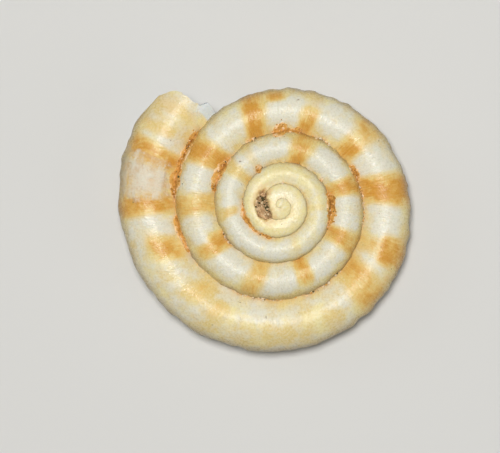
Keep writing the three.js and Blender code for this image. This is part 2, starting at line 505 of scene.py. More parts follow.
@dataclass
class Skin:
    """The shell's outer surface, as points for places given by turn and angle."""

    coil: Coil
    section: Section
    lip: Lip
    relief: Relief
    pit: Pit
    apex_wear: ApexWear = ApexWear()
    settling: float = 20.0
    pole_height: float = 0.3
    pole_width: float = 0.13
    smooth_radius: float = 0.35
    axis_radius: float = 0.002

    @property
    def first_turn(self) -> float:
        """The turn at which a whorl's outer edge leaves the axis."""
        edge = self.section.outline(np.array(self.section.covered_top_angle))[0]
        return MOUTH_TURN + math.log(self.coil.pivot / edge) / self.coil.growth

    def inner_angle(self, turn: Array) -> Array:
        """The angle at which a whorl's top starts: the suture, or the axis if no whorl comes before."""
        angles = np.linspace(self.section.covered_top_angle, self.section.suture_angle, 2000)
        x = self.section.outline(angles)[0]
        return np.interp(-self.coil.pivot / self.coil.size(turn), -x, angles)

    def _lifted(self, turn: Array, angle: Array) -> tuple[Array, Array]:
        """Points of one whorl by itself.

        Args:
            turn: places along the coil.
            angle: degrees round the section.

        Returns:
            Their distance from the axis and their height.
        """
        size = self.coil.size(turn)
        x, y = self.section.outline(angle)
        normal_x, normal_y = self.section.normal(angle)
        radius = x * size - self.coil.pivot
        lift = self.relief.lift(turn, angle, self.section.across(angle), size)
        lift = lift * smooth_step(0.0, self.smooth_radius, radius)
        height = y * size + self.coil.drop * self.coil.pivot
        return radius + normal_x * lift, height + normal_y * lift

    def meridian(self, turn: Array, angle: Array) -> tuple[Array, Array]:
        """Points of the skin, with each whorl's inner edge and navel edge drawn onto the whorl before.

        Args:
            turn: places along the coil.
            angle: degrees round the section.

        Returns:
            Their distance from the axis and their height.
        """
        section = self.section
        radius, height = self._lifted(turn, angle)
        meetings = (
            (section.suture_angle, section.covered_top_angle, section.suture_angle - angle),
            (section.navel_angle, section.covered_base_angle, angle - section.navel_angle),
        )
        has_neighbour = turn - 1.0 >= self.first_turn - 1e-9
        for own, before, distance in meetings:
            share = np.where(has_neighbour, 1.0 - smooth_step(0.0, self.settling, distance), 0.0)
            own_radius, own_height = self._lifted(turn, np.full_like(turn, own))
            target_radius, target_height = self._lifted(turn - 1.0, np.full_like(turn, before))
            radius = radius + share * (target_radius - own_radius)
            height = height + share * (target_height - own_height)
        radius = np.where(radius < self.axis_radius, 0.0, radius)
        apex = np.exp(-((radius / self.pole_width) ** 2))
        return radius, height * (1.0 - apex) + self.pole_height * apex

    def place(self, turn: Array, radius: Array, height: Array) -> Array:
        """Turns a meridian's points about the axis, and wears down the apex.

        Args:
            turn: places along the coil.
            radius: distances from the axis.
            height: heights.

        Returns:
            The points, one row each.
        """
        azimuth = self.coil.azimuth(turn)
        on_top = smooth_step(self.pit.lowest, self.pit.lowest + 0.1, height)
        height = self.apex_wear.wear_down(radius, height)
        height = height - on_top * self.pit.depth * self.pit.share(azimuth, radius)
        return np.column_stack((radius * np.cos(azimuth), radius * np.sin(azimuth), height))

    def points(self, turn: Array, angle: Array) -> Array:
        """The skin's points at turns along the coil and degrees round the section, one row each."""
        return self.place(turn, *self.meridian(turn, angle))


@dataclass
class Seat:
    """How the shell lies: leaned onto its base, and moved to where the frame has it."""

    lean: float = 4.33
    azimuth: float = -5.1
    shift: Array = field(default_factory=lambda: np.zeros(3))

    @property
    def turning(self) -> Array:
        """The lean, as a matrix for columns."""
        direction = math.radians(self.azimuth)
        axis = Vector((-math.sin(direction), math.cos(direction), 0.0))
        return np.array(Matrix.Rotation(math.radians(self.lean), 3, axis))

    def settle(self, points: Array) -> Array:
        """Moves points from the shell's own frame to the frame of the scene, still in millimetres."""
        return points @ self.turning.T + self.shift

    def centre_on(self, points: Array, box: Sequence[Vector]) -> None:
        """Chooses the shift that puts points over the middle of a box in metres, and on its floor."""
        leaned = points @ self.turning.T
        low, high = leaned.min(axis=0), leaned.max(axis=0)
        box_low, box_high = (np.array(corner) / MM for corner in box)
        middle = (box_low + box_high - low - high) / 2.0
        self.shift = np.array((middle[0], middle[1], box_low[2] - low[2]))


def rolled_sheet(
    name: str, rows: int, columns: int, roll: Callable[[Array, Array], Array]
) -> bpy.types.Object:
    """Adds a flat grid and rolls it up.

    Args:
        name: the object's name.
        rows: how many steps it has along its length.
        columns: how many steps it has across.
        roll: gives the points for whole numbers of steps along and across.

    Returns:
        The rolled sheet.
    """
    bpy.ops.object.select_all(action="DESELECT")
    bpy.ops.mesh.primitive_grid_add(x_subdivisions=rows, y_subdivisions=columns, size=1.0)
    sheet = bpy.context.object
    sheet.name = name
    sheet.data.name = name
    row, column = grid_steps(sheet, rows, columns)
    sheet.data.vertices.foreach_set("co", roll(row, column).astype(np.float32).ravel())
    sheet.data.update()
    return sheet


def grid_steps(sheet: bpy.types.Object, rows: int, columns: int) -> tuple[Array, Array]:
    """Reads how many steps along and across each vertex of a flat unit grid is."""
    flat = np.empty(len(sheet.data.vertices) * 3)
    sheet.data.vertices.foreach_get("co", flat)
    flat = flat.reshape(-1, 3)
    return np.rint((flat[:, 0] + 0.5) * rows), np.rint((flat[:, 1] + 0.5) * columns)


def write_corners(piece: bpy.types.Object, name: str, values: Array) -> None:
    """Stores a colour for each face corner, so that it stays whole along a welded edge.

    Args:
        piece: the mesh object.
        name: the attribute's name.
        values: three numbers for each vertex.
    """
    corners = np.empty(len(piece.data.loops), int)
    piece.data.loops.foreach_get("vertex_index", corners)
    attribute = piece.data.color_attributes.new(name=name, type="FLOAT_COLOR", domain="CORNER")
    colours = np.column_stack((values, np.ones(len(values))))[corners]
    attribute.data.foreach_set("color", colours.astype(np.float32).ravel())


def write_map(piece: bpy.types.Object, along: Array, across: Array) -> None:
    """Stores how far along and across the sheet each face corner is, as the mesh's UV map."""
    corners = np.empty(len(piece.data.loops), int)
    piece.data.loops.foreach_get("vertex_index", corners)
    places = np.column_stack((along, across))[corners]
    layer = piece.data.uv_layers.active or piece.data.uv_layers.new(name=GROWTH_MAP)
    layer.name = GROWTH_MAP
    layer.data.foreach_set("uv", places.astype(np.float32).ravel())


def weld(pieces: Sequence[bpy.types.Object], name: str, distance: float = WELD_DISTANCE) -> bpy.types.Object:
    """Joins pieces into one and merges the points that they share.

    Args:
        pieces: mesh objects.
        name: the name of the result.
        distance: how near two points are to be one.

    Returns:
        The joined object.
    """
    bpy.ops.object.select_all(action="DESELECT")
    for piece in pieces:
        piece.select_set(True)
    bpy.context.view_layer.objects.active = pieces[0]
    if len(pieces) > 1:
        bpy.ops.object.join()
    joined = bpy.context.object
    joined.name = name
    joined.data.name = name
    bpy.ops.object.mode_set(mode="EDIT")
    bpy.ops.mesh.select_all(action="SELECT")
    bpy.ops.mesh.remove_doubles(threshold=distance)
    bpy.ops.object.mode_set(mode="OBJECT")
    return joined


def close_openings(piece: bpy.types.Object) -> None:
    """Fills a mesh's openings with fans of triangles and turns all its faces outwards."""
    bpy.ops.object.select_all(action="DESELECT")
    piece.select_set(True)
    bpy.context.view_layer.objects.active = piece
    bpy.ops.object.mode_set(mode="EDIT")
    bpy.ops.mesh.select_mode(type="VERT")
    bpy.ops.mesh.select_all(action="DESELECT")
    bpy.ops.mesh.select_non_manifold()
    bpy.ops.mesh.edge_face_add()
    bpy.ops.mesh.select_mode(type="FACE")
    bpy.ops.mesh.poke()
    bpy.ops.mesh.select_all(action="SELECT")
    bpy.ops.mesh.normals_make_consistent(inside=False)
    bpy.ops.object.mode_set(mode="OBJECT")


def shade_smooth(piece: bpy.types.Object, degrees: float = 60.0) -> None:
    """Shades a piece smooth, apart from its sharp edges."""
    bpy.ops.object.select_all(action="DESELECT")
    piece.select_set(True)
    bpy.context.view_layer.objects.active = piece
    bpy.ops.object.shade_smooth_by_angle(angle=math.radians(degrees))


def hang_in_frame(piece: bpy.types.Object, node: str) -> None:
    """Turns a piece's millimetres into metres, rides it on the body and lets it stand for a CAD node."""
    bpy.ops.object.select_all(action="DESELECT")
    piece.select_set(True)
    bpy.context.view_layer.objects.active = piece
    piece.scale = (MM, MM, MM)
    bpy.ops.object.transform_apply(location=False, rotation=False, scale=True)
    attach(piece, "root")
    if node:
        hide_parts(node)


@dataclass
class Weathering:
    """Which parts of the skin are coloured, worn and soiled, and where shade is painted on the lip."""

    skin: Skin
    flames: Sequence[Flame] = FLAMES_AND_LIP_SHADE
    yellowed_turns: tuple[float, float] = YELLOWED_TURNS
    inner_side_width: float = 0.2
    outer_side_width: float = 0.14
    faint_stain: float = 0.25
    pit_stain_spread: float = 1.55
    noise: Noise = field(default_factory=lambda: Noise(31))

    def marks(self, turn: Array, angle: Array) -> Array:
        """The shell's own colours and wear, with painted shade on the lip.

        Args:
            turn: places along the coil.
            angle: degrees round the section.

        Returns:
            For each place: how brown (on the lip partly painted shade), how cream-coloured, and how flaked
                it is, from 0 to 1.
        """
        across = self.skin.section.across(angle)
        brown = np.zeros_like(turn)
        for flame in self.flames:
            brown = np.maximum(brown, flame.shade(turn, across))
        start, end = self.yellowed_turns
        past_end = smooth_step(end - 0.04, end + 0.02, turn)
        zone = smooth_step(start - 0.05, start + 0.03, turn) * (1.0 - past_end)
        young = 1.0 - smooth_step(2.1, 2.75, turn)
        wobble = 0.12 * self.noise.layered(turn * 14.0, across * 1.5, 3)
        rim = smooth_step(0.2, 0.52, np.abs(across - 0.47) + wobble)
        zone = zone * (0.62 + 0.9 * self.noise.layered(turn * 16.0 + 7.0, across * 3.0, 3))
        lip_patches = 0.55 + 0.9 * self.noise.layered(turn * 60.0, across * 2.0, 2)
        lip = smooth_step(4.91, 4.945, turn) * lip_patches
        cream = np.clip(np.maximum.reduce((zone, young, rim, lip)), 0.0, 1.0)
        return np.column_stack((brown, cream, self.skin.relief.flake(turn, across)))

    def _along_suture(self, turn: Array) -> Array:
        """How much soil has stained the suture on the inner side of a whorl, from 0 to 1, at each turn."""
        amount = self.faint_stain * (0.7 + 0.6 * self.noise.layered(turn * 25.0, turn * 0.0))
        for crust in CRUSTS + THIN_SOIL:
            middle, half = (crust.first + crust.last) / 2.0, (crust.last - crust.first) / 2.0
            strength = min(1.0, 0.3 + crust.half_width)
            cover = 1.0 - smooth_step(0.85, 1.5, np.abs(turn - middle) / half)
            amount = np.maximum(amount, strength * cover)
        return amount

    def soiling(self, turn: Array, angle: Array) -> Array:
        """Stains and bared inner layers.

        Args:
            turn: places along the coil.
            angle: degrees round the section.

        Returns:
            For each place: how stained it is beside a suture or the pit, how deep in the pit it is, and
            how far the bluish inner layer shows.
        """
        section = self.skin.section
        reach = np.radians(1.0) * section.half_height * self.skin.coil.size(turn)
        from_inner = (section.suture_angle - angle) * reach / self.inner_side_width
        from_outer = (angle - section.covered_top_angle) * reach / self.outer_side_width
        has_next = turn <= MOUTH_TURN - 1.0
        stain = self._along_suture(turn) * np.exp(-(from_inner**2))
        covered = np.where(has_next, self._along_suture(turn + 1.0) * np.exp(-(from_outer**2)), 0.0)
        radius, _ = self.skin.meridian(turn, angle)
        on_top = smooth_step(-20.0, 0.0, angle)
        azimuth = self.skin.coil.azimuth(turn)
        pit = on_top * self.skin.pit.share(azimuth, radius)
        beside_pit = 0.55 * on_top * self.skin.pit.share(azimuth, radius, self.pit_stain_spread)
        bared = smooth_step(4.9835, 4.9865, turn) * smooth_step(107.0, 114.0, angle)
        return np.column_stack((np.maximum.reduce((stain, covered, beside_pit)), pit, bared))


@dataclass
class Shell:
    """The shell: its skin, broken lip, hollow and navel, as one closed piece."""

    skin: Skin
    seat: Seat
    weathering: Weathering
    rows_per_turn: int = 360
    hollow_rows_per_turn: int = 60
    top_columns: int = 24
    side_columns: int = 28
    navel_columns: int = 9
    wall: float = 0.36
    callus: float = 0.12
    corner: float = 0.25
    hollow_centre_drop: float = 1.2
    wedge_reach: float = 2.5
    wedge_direction: float = 168.0
    wedge_spread: float = 35.0
    first_hollow_turn: float = 2.0
    first_navel_turn: float = 1.4

    @property
    def whorl_columns(self) -> int:
        """How many steps go round a whole whorl."""
        return self.top_columns + self.side_columns + self.navel_columns

    def top_angle(self, turn: Array, column: Array) -> Array:
        """The angle of a column of the top, where column 0 is the suture or the axis."""
        inner, outer = self.skin.inner_angle(turn), self.skin.section.covered_top_angle
        return inner + (outer - inner) * column / self.top_columns

    def whorl_angle(self, turn: Array, column: Array) -> Array:
        """The angle of a column of a whole whorl, from the suture over the top and under to the navel."""
        section = self.skin.section
        side_end = self.top_columns + self.side_columns
        stops = (self.top_columns, side_end, self.whorl_columns)
        angles = (section.covered_top_angle, section.covered_base_angle, section.navel_angle)
        below = np.interp(column, stops, angles)
        return np.where(column < self.top_columns, self.top_angle(turn, np.minimum(column, stops[0])), below)

    def _dress_corners(self, sheet: bpy.types.Object, turn: Array, angle: Array, along: Array) -> None:
        """Writes a sheet's map, marks and soiling, from where its vertices are on the coil."""
        write_map(sheet, along, angle / 100.0)
        write_corners(sheet, "Marks", self.weathering.marks(turn, angle))
        write_corners(sheet, "Soiling", self.weathering.soiling(turn, angle))

    def _skin_sheet(
        self, name: str, first: float, last: float, columns: int, first_column: int
    ) -> bpy.types.Object:
        """Rolls one sheet of the outer skin.

        Args:
            name: the sheet's name.
            first: the turn where it starts.
            last: the turn where it ends, which falls on a row.
            columns: how many steps it has across.
            first_column: the column of the whole whorl at which it starts.

        Returns:
            The sheet.
        """
        rows = math.ceil((last - first) * self.rows_per_turn - 1e-6)
        places: dict[str, Array] = {}

        def roll(row: Array, column: Array) -> Array:
            """Places the skin's vertices."""
            along = last - (rows - row) / self.rows_per_turn
            angle = self.whorl_angle(along, column + first_column)
            turn = self.skin.lip.bend(along, angle)
            places.update(along=along, angle=angle, turn=turn)
            return self.seat.settle(self.skin.points(turn, angle))

        sheet = rolled_sheet(name, rows, columns, roll)
        self._dress_corners(sheet, **places)
        return sheet

    def _hollow_points(self, along: Array, column: Array, inset: Array) -> Array:
        """Points of the hollow's wall.

        Args:
            along: turns along the coil, before the lip's bend.
            column: steps round the hollow: first round the whorl's own wall, then back up the whorl before.
            inset: how much of the wall's thickness they lie in by: 0 on the skin, 1 on the hollow's wall.

        Returns:
            The points, one row each.
        """
        section, coil = self.skin.section, self.skin.coil
        last = self.whorl_columns
        own = column <= last
        own_angle = self.whorl_angle(along, np.minimum(column, last))
        before_angle = self.whorl_angle(along, self.top_columns + self.side_columns - (column - last))
        turn = np.where(own, self.skin.lip.bend(along, own_angle), along)
        own_radius, own_height = self.skin.meridian(turn, own_angle)
        before_radius, before_height = self.skin.meridian(along - 1.0, before_angle)
        radius, height = np.where(own, own_radius, before_radius), np.where(own, own_height, before_height)

        size, centre = coil.size(turn), section.middle - (0.0, self.hollow_centre_drop)
        x = (radius + coil.pivot) / size - centre[0]
        y = (height - coil.drop * coil.pivot) / size - centre[1]
        reach, direction = np.hypot(x, y), np.degrees(np.arctan2(y, x)) % 360.0
        ends = (0, 5, last - 5, last, last + 4, last + self.side_columns - 5, last + self.side_columns)
        callus = self.callus * (1.0 - 0.75 * smooth_step(MOUTH_TURN - 0.15, MOUTH_TURN, along))
        own_wall = np.interp(column, ends[:4], (self.corner, self.wall, self.wall, self.corner))
        to_corner = np.interp(column, ends[3:], (1.0, 0.0, 0.0, 1.0))
        before_wall = callus + (self.corner - self.callus) * to_corner
        wedge = self.wedge_reach + ((direction - self.wedge_direction) / self.wedge_spread) ** 2
        inner = np.minimum(reach - np.where(own, own_wall, before_wall), wedge)
        share = 1.0 + inset * (inner / reach - 1.0)
        radius = (x * share + centre[0]) * size - coil.pivot
        height = (y * share + centre[1]) * size + coil.drop * coil.pivot
        return self.skin.place(turn, radius, height)

    def _hollow_sheet(self) -> bpy.types.Object:
        """Rolls the hollow's wall, closed at its inner end, with the lip's broken edge as its last row."""
        wall_rows = round((MOUTH_TURN - self.first_hollow_turn) * self.hollow_rows_per_turn)
        rows, columns = wall_rows + 2, self.whorl_columns + self.side_columns
        places: dict[str, Array] = {}

        def roll(row: Array, column: Array) -> Array:
            """Places the hollow's vertices, with its first row drawn together to a point."""
            wall_row = np.clip(row - 1, 0, wall_rows)
            along = MOUTH_TURN - (wall_rows - wall_row) / self.hollow_rows_per_turn
            points = self._hollow_points(along, column, np.where(row == rows, 0.0, 1.0))
            end = row == 0
            points[end] = points[row == 1].mean(axis=0)
            places.update(along=along, column=column)
            return self.seat.settle(points)

        sheet = rolled_sheet("hollow", rows, columns, roll)
        count = len(sheet.data.vertices)
        write_map(sheet, places["along"], places["column"] / 30.0)
        write_corners(sheet, "Marks", np.zeros((count, 3)))
        write_corners(sheet, "Soiling", np.tile((0.0, 0.0, 1.0), (count, 1)))
        return sheet

    def settle(self) -> None:
        """Works out where the shell lies from the skin of its last whorl and its apex."""
        turn, column = np.meshgrid(np.linspace(3.0, MOUTH_TURN, 721), np.arange(self.whorl_columns + 1.0))
        turn, column = turn.ravel(), column.ravel()
        angle = self.whorl_angle(turn, column)
        last_whorl = self.skin.points(self.skin.lip.bend(turn, angle), angle)
        apex = np.array([[0.0, 0.0, self.skin.pole_height]])
        self.seat.centre_on(np.vstack((last_whorl, apex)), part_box("shell"))

    def build(self) -> bpy.types.Object:
        """Rolls and welds the sheets into the shell.

        Returns:
            The shell, as one closed mesh.
        """
        self.settle()
        last = MOUTH_TURN - 1.0
        side_end = self.top_columns + self.side_columns
        sheets = (
            self._skin_sheet("spire", self.skin.first_turn, last, self.top_columns, 0),
            self._skin_sheet("last_whorl", last, MOUTH_TURN, self.whorl_columns, 0),
            self._skin_sheet("base", self.first_navel_turn, last, self.navel_columns, side_end),
            self._hollow_sheet(),
        )
        shell = weld(sheets, "shell_body")
        close_openings(shell)
        shade_smooth(shell)
        return shell


def paint(code: str) -> tuple[float, float, float, float]:
    """Turns a colour code such as "#E6DCC0" into the linear colour that a shader takes."""
    shares = [int(code[i : i + 2], 16) / 255.0 for i in (1, 3, 5)]
    linear = [share / 12.92 if share <= 0.04045 else ((share + 0.055) / 1.055) ** 2.4 for share in shares]
    return (*linear, 1.0)


class Palette(Enum):
    """Colours of the shell and of what clings to it."""

    WHITE = "#E8E3CE"
    CREAM = "#F1E2A6"
    YELLOW = "#E6CE8C"
    PALE_FLAME = "#ECC672"
    FLAME = "#D89C40"
    MILK = "#F4F0E4"
    ROSY = "#D9B68C"
    CHALK = "#E6DAC2"
    STAIN = "#E0B478"
    PIT = "#B08C62"
    SPECK = "#8A6A44"
    # Painted shade for the fine low spots of the surface.
    DUST = "#B9A27A"
    INNER = "#E4EAEA"
    SOIL_DARK = "#AE7A36"
    SOIL = "#DCA655"
    SOIL_PALE = "#F3D3A6"
    GRAIN_BLACK = "#55502F"
    PIT_SOIL_DARK = "#A07E54"
    PIT_SOIL = "#C8A67C"
    PIT_SOIL_PALE = "#E6CDA4"
    # Brownish grime colour that also stands in as painted shade at the whorls' outer edges.
    GRIME = "#93794E"
    FLOOR = "#D9D8D4"

    @property
    def colour(self) -> tuple[float, float, float, float]:
        """The colour as a shader takes it."""
        return paint(self.value)


Input = bpy.types.NodeSocket | float | tuple | Palette


class NodeSheet:
    """One material's nodes."""

    def __init__(self, name: str) -> None:
        """Starts a material with a principled shader.

        Args:
            name: the material's name.
        """
        self.material = bpy.data.materials.new(name)
        self.material.use_nodes = True
        self._tree = self.material.node_tree
        self.shader = self._tree.nodes["Principled BSDF"]

    def _feed(self, socket: bpy.types.NodeSocket, value: Input) -> None:
        """Links a socket to another, or sets its value."""
        if isinstance(value, bpy.types.NodeSocket):
            self._tree.links.new(value, socket)
        else:
            socket.default_value = value.colour if isinstance(value, Palette) else value

    def add(self, kind: str, inputs: dict[int | str, Input], **settings: object) -> bpy.types.Node:
        """Adds a node.

        Args:
            kind: the node's type, without its ShaderNode prefix.
            inputs: what its sockets take.
            **settings: its properties.

        Returns:
            The node.
        """
        node = self._tree.nodes.new("ShaderNode" + kind)
        for key, value in settings.items():
            setattr(node, key, value)
        for key, value in inputs.items():
            self._feed(node.inputs[key], value)
        return node

    def shade(self, **inputs: Input) -> None:
        """Feeds the shader; an underscore in a name stands for a space."""
        for key, value in inputs.items():
            self._feed(self.shader.inputs[key.replace("_", " ")], value)

    def object_place(self) -> bpy.types.NodeSocket:
        """Places on the piece, in metres."""
        return self.add("TexCoord", {}).outputs["Object"]

    def growth_place(self, per_turn: float, per_width: float) -> bpy.types.NodeSocket:
        """Places on the rolled sheet, for patterns that repeat so often along and across it."""
        growth = self.add("UVMap", {}, uv_map=GROWTH_MAP).outputs["UV"]
        return self.add("Mapping", {"Vector": growth, "Scale": (per_turn, per_width, 1.0)}).outputs["Vector"]

    def channels(self, attribute: str) -> tuple[bpy.types.NodeSocket, ...]:
        """The three numbers of a stored attribute."""
        return self.channels_of(self.add("Attribute", {}, attribute_name=attribute).outputs["Vector"])

    def channels_of(self, vector: bpy.types.NodeSocket) -> tuple[bpy.types.NodeSocket, ...]:
        """The three numbers of a vector."""
        return tuple(self.add("SeparateXYZ", {0: vector}).outputs)

    def noise(
        self, place: Input, scale: float, detail: float = 3.0, roughness: float = 0.55
    ) -> bpy.types.NodeSocket:
        """Noise from 0 to 1 about one half."""
        inputs = {"Vector": place, "Scale": scale, "Detail": detail, "Roughness": roughness}
        return self.add("TexNoise", inputs).outputs[0]

    def rise(
        self, value: Input, low: float, high: float, to: tuple[float, float] = (0.0, 1.0)
    ) -> bpy.types.NodeSocket:
        """Rises smoothly between two values."""
        inputs = {"Value": value, "From Min": low, "From Max": high, "To Min": to[0], "To Max": to[1]}
        return self.add("MapRange", inputs, interpolation_type="SMOOTHSTEP").outputs[0]

    def sum(self, first: Input, second: Input, clamp: bool = False) -> bpy.types.NodeSocket:
        """Adds two values."""
        return self.add("Math", {0: first, 1: second}, operation="ADD", use_clamp=clamp).outputs[0]

    def product(self, first: Input, second: Input, clamp: bool = True) -> bpy.types.NodeSocket:
        """Multiplies two values, and keeps the result from 0 to 1 if clamped."""
        return self.add("Math", {0: first, 1: second}, operation="MULTIPLY", use_clamp=clamp).outputs[0]

    def mix(self, share: Input, low: Input, high: Input) -> bpy.types.NodeSocket:
        """Mixes two colours."""
        return self.add("Mix", {0: share, 6: low, 7: high}, data_type="RGBA").outputs[2]

    def bump(self, height: Input, depth: float, strength: float = 1.0, normal: Input | None = None) -> Input:
        """Roughens the surface by a height from 0 to 1, as deep as depth in metres."""
        inputs = {"Height": height, "Distance": depth, "Strength": strength}
        if normal is not None:
            inputs["Normal"] = normal
        return self.add("Bump", inputs).outputs[0]


@dataclass(frozen=True)
class ShellFinish:
    """Worn porcelain-like shell with brown flames, growth lines, stains and a flaked patch, with painted
    shade at the outer edges, in fine specks and on the lip.
    """

    growth_lines: float = 330.0
    line_depth: float = 6.0e-5
    lump_depth: float = 8.0e-5
    grain_depth: float = 4.0e-5
    flake_depth: float = 1.2e-4

    def make(self) -> bpy.types.Material:
        """Builds the material."""
        sheet = NodeSheet("worn_shell")
        place = sheet.object_place()
        brown, creamy, flaked = sheet.channels("Marks")
        stain, pit, inner = sheet.channels("Soiling")
        around = sheet.channels_of(sheet.growth_place(1.0, 1.0))[1]
        rim = sheet.product(sheet.rise(around, 0.5, 0.04), sheet.rise(around, -0.7, -0.2, (0.4, 1.0)))
        lines = sheet.noise(sheet.growth_place(self.growth_lines, 2.6), 1.0, 3.0)
        bands = sheet.noise(sheet.growth_place(34.0, 1.2), 1.0, 2.0)
        clouds = sheet.noise(place, 330.0, 2.0)
        blotches = sheet.noise(place, 1100.0, 5.0, 0.65)
        fine = sheet.noise(place, 7000.0, 4.0, 0.7)
        grown = sheet.rise(sheet.channels_of(sheet.growth_place(1.0, 1.0))[0], 1.2, 3.6)

        uneven_cream = sheet.sum(sheet.product(sheet.rise(bands, 0.3, 0.7), grown), clouds)
        cream = sheet.mix(sheet.rise(uneven_cream, 0.4, 1.3), Palette.CREAM, Palette.YELLOW)
        halo = sheet.rise(brown, 0.0, 0.7)
        patchy = sheet.rise(blotches, 0.35, 0.65, (0.35, -0.4))
        creaminess = sheet.sum(sheet.sum(creamy, halo), patchy, clamp=True)
        ground = sheet.mix(creaminess, Palette.WHITE, cream)
        # Painted shade: the low spots of the fine noise, which are also the bump's hollows, are darkened.
        shadowed = sheet.product(sheet.rise(fine, 0.5, 0.3), 0.16)
        ground = sheet.mix(shadowed, ground, Palette.DUST)
        mottled = sheet.product(sheet.rise(fine, 0.5, 0.7), 0.4)
        ground = sheet.mix(mottled, ground, Palette.MILK)
        streak = sheet.rise(lines, 0.3, 0.7, (-0.16, 0.1))
        patch = sheet.rise(blotches, 0.3, 0.7, (-0.32, 0.26))
        uneven = sheet.sum(1.0, sheet.sum(streak, patch))
        shade = sheet.product(brown, uneven)
        flame = sheet.mix(sheet.rise(shade, 0.35, 1.0), Palette.PALE_FLAME, Palette.FLAME)
        colour = sheet.mix(sheet.rise(shade, 0.08, 0.72), ground, flame)
        spiral = sheet.noise(sheet.growth_place(16.0, 6.0), 1.0, 5.0)
        chalky = sheet.product(flaked, sheet.rise(sheet.sum(spiral, sheet.product(fine, 0.6)), 0.7, 0.95))
        rosy = sheet.product(flaked, sheet.rise(blotches, 0.62, 0.4, (0.1, 0.6)))
        colour = sheet.mix(rosy, colour, Palette.ROSY)
        colour = sheet.mix(sheet.product(chalky, 0.85), colour, Palette.CHALK)
        dirty = sheet.product(stain, sheet.rise(blotches, 0.2, 0.6, (0.5, 1.3)))
        colour = sheet.mix(dirty, colour, Palette.STAIN)
        # Darker towards the outer edge and side of each whorl: partly grainy grime, partly painted shade
        # where the surface turns away from the light.
        gritty = sheet.sum(blotches, sheet.product(fine, 0.5))
        grime_and_edge_shade = sheet.product(sheet.rise(gritty, 0.45, 0.95, (0.25, 1.0)), rim)
        grime_and_edge_shade = sheet.product(grime_and_edge_shade, 0.82)
        colour = sheet.mix(grime_and_edge_shade, colour, Palette.GRIME)
        colour = sheet.mix(sheet.rise(pit, 0.1, 0.7), colour, Palette.PIT)
        specks = sheet.product(sheet.rise(sheet.noise(place, 2300.0, 2.0), 0.73, 0.78), 0.7)
        colour = sheet.mix(specks, colour, Palette.SPECK)
        colour = sheet.mix(inner, colour, Palette.INNER)

        rough = sheet.rise(fine, 0.3, 0.7, (0.2, 0.44))
        worn = sheet.sum(sheet.product(flaked, 0.3), sheet.product(dirty, 0.35), clamp=True)
        normal = sheet.bump(sheet.product(lines, grown), self.line_depth)
        normal = sheet.bump(blotches, self.lump_depth, normal=normal)
        normal = sheet.bump(sheet.product(fine, sheet.sum(0.4, rim)), self.grain_depth, normal=normal)
        normal = sheet.bump(sheet.product(flaked, blotches), self.flake_depth, normal=normal)
        sheet.shade(Base_Color=colour, Roughness=sheet.sum(rough, worn, clamp=True), Normal=normal)
        sheet.shade(Subsurface_Weight=0.12, Subsurface_Scale=0.0006, Subsurface_Radius=(1.0, 0.7, 0.45))
        return sheet.material


@dataclass(frozen=True)
class SoilFinish:
    """Dried soil: dull crumbs, each with its own shade."""

    name: str
    dark: Palette
    middle: Palette
    pale: Palette
    grain: float = 9000.0

    def make(self) -> bpy.types.Material:
        """Builds the material."""
        sheet = NodeSheet(self.name)
        place = sheet.object_place()
        tone, black, _ = sheet.channels("Shade")
        fine = sheet.noise(place, self.grain, 4.0, 0.7)
        lumps = sheet.noise(place, self.grain / 4.0, 3.0)
        level = sheet.sum(tone, sheet.rise(fine, 0.2, 0.8, (-0.2, 0.2)))
        colour = sheet.mix(sheet.rise(level, 0.0, 0.5), self.dark, self.middle)
        colour = sheet.mix(sheet.rise(level, 0.5, 1.0), colour, self.pale)
        colour = sheet.mix(black, colour, Palette.GRAIN_BLACK)
        normal = sheet.bump(lumps, 3.0e-5)
        normal = sheet.bump(fine, 1.5e-5, normal=normal)
        sheet.shade(Base_Color=colour, Roughness=0.92, Normal=normal, Specular_IOR_Level=0.25)
        return sheet.material


@dataclass
class Ground:
    """The finished shell's surface, felt from above."""

    seat: Seat
    tree: BVHTree
    start_height: float = 5.0

    def heights(self, x: Array, y: Array) -> Array:
        """Feels how high the surface is.

        Args:
            x: places in the shell's own frame, in millimetres.
            y: places across it.

        Returns:
            The height of the topmost surface at each place.
        """
        turning = self.seat.turning
        down = Vector(turning @ (0.0, 0.0, -1.0))
        starts = self.seat.settle(np.column_stack((x, y, np.full(len(x), self.start_height))))
        distances = [self.tree.ray_cast(Vector(start), down)[3] for start in starts]
        return self.start_height - np.array(distances)


@dataclass
class GrainBox:
    """A few grains of soil to copy from."""

    kinds: int = 7
    raggedness: float = 0.34
    faces_kept: float = 0.5
    shapes: list[tuple[Array, Array]] = field(default_factory=list)

    def model(self) -> None:
        """Models the grains, of about one unit across, and keeps their corners and faces."""
        for kind in range(self.kinds):
            bpy.ops.object.select_all(action="DESELECT")
            bpy.ops.mesh.primitive_ico_sphere_add(subdivisions=2, radius=0.5)
            bpy.ops.object.mode_set(mode="EDIT")
            bpy.ops.mesh.select_all(action="SELECT")
            bpy.ops.transform.vertex_random(offset=self.raggedness, seed=kind + 1)
            bpy.ops.mesh.convex_hull()
            bpy.ops.mesh.decimate(ratio=self.faces_kept)
            bpy.ops.mesh.quads_convert_to_tris()
            bpy.ops.mesh.normals_make_consistent(inside=False)
            bpy.ops.object.mode_set(mode="OBJECT")
            grain = bpy.context.object
            corners = np.array([vertex.co[:] for vertex in grain.data.vertices])
            faces = np.array([face.vertices[:] for face in grain.data.polygons])
            self.shapes.append((corners / np.ptp(corners, axis=0).max(), faces))
            bpy.data.objects.remove(grain)


